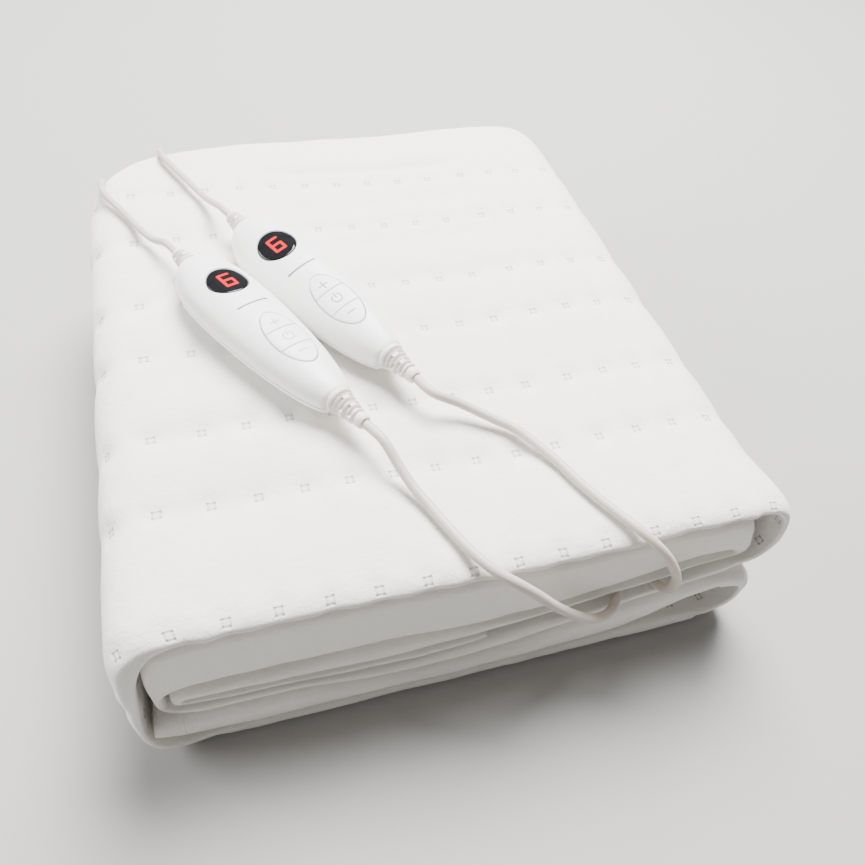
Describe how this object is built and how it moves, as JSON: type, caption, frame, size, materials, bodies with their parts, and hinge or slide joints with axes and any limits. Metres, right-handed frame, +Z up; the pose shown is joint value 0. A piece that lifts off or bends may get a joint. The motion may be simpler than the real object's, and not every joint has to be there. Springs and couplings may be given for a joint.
{
  "type": "folded electric heated blanket",
  "caption": "Folded quilted electric heated blanket with hand controllers on top, their leads, coils and plugs.",
  "frame": {"origin": "on the floor, under the middle of the folded stack", "axes": "+X along the front folded edge, +Y towards the back, +Z up"},
  "size_m": [0.3296, 0.4728, 0.1306],
  "materials": {
    "cloth": "matt non-woven fleece",
    "shell": "satin white",
    "key": "soft satin",
    "window": "polished black",
    "relief": "satin",
    "lead": "satin",
    "plug": "satin",
    "pin": "bright"
  },
  "bodies": {
    "blanket_and_housings": {"blanket": "cloth", "upper_shell_a": "shell", "lower_shell_a": "shell", "window_a": "window", "blanket_relief_a": "relief", "mains_relief_a": "relief", "blanket_lead_a": "lead", "mains_lead_a": "lead", "mains_coil_a": "lead", "plug_a": "plug", "pin_live_a": "pin", "pin_neutral_a": "pin", "pin_earth_a": "pin", "upper_shell_b": "shell", "lower_shell_b": "shell", "window_b": "window", "blanket_relief_b": "relief", "mains_relief_b": "relief", "blanket_lead_b": "lead", "mains_lead_b": "lead", "mains_coil_b": "lead", "plug_b": "plug", "pin_live_b": "pin", "pin_neutral_b": "pin", "pin_earth_b": "pin"},
    "plus_key_a": {"key_plus_a": "key"},
    "power_key_a": {"key_power_a": "key"},
    "minus_key_a": {"key_minus_a": "key"},
    "plus_key_b": {"key_plus_b": "key"},
    "power_key_b": {"key_power_b": "key"},
    "minus_key_b": {"key_minus_b": "key"}
  },
  "joints": [
    {"name": "press_plus_a", "type": "slide", "parent": "blanket_and_housings", "child": "plus_key_a", "axis": [-0.1013, -0.058, -0.9932], "range_m": [0, 0.0008], "stiffness_N_per_m": 1500},
    {"name": "press_power_a", "type": "slide", "parent": "blanket_and_housings", "child": "power_key_a", "axis": [-0.1013, -0.058, -0.9932], "range_m": [0, 0.0008], "stiffness_N_per_m": 1500},
    {"name": "press_minus_a", "type": "slide", "parent": "blanket_and_housings", "child": "minus_key_a", "axis": [-0.1013, -0.058, -0.9932], "range_m": [0, 0.0008], "stiffness_N_per_m": 1500},
    {"name": "press_plus_b", "type": "slide", "parent": "blanket_and_housings", "child": "plus_key_b", "axis": [0.1757, 0.1235, -0.9767], "range_m": [0, 0.0008], "stiffness_N_per_m": 1500},
    {"name": "press_power_b", "type": "slide", "parent": "blanket_and_housings", "child": "power_key_b", "axis": [0.1757, 0.1235, -0.9767], "range_m": [0, 0.0008], "stiffness_N_per_m": 1500},
    {"name": "press_minus_b", "type": "slide", "parent": "blanket_and_housings", "child": "minus_key_b", "axis": [0.1757, 0.1235, -0.9767], "range_m": [0, 0.0008], "stiffness_N_per_m": 1500}
  ]
}
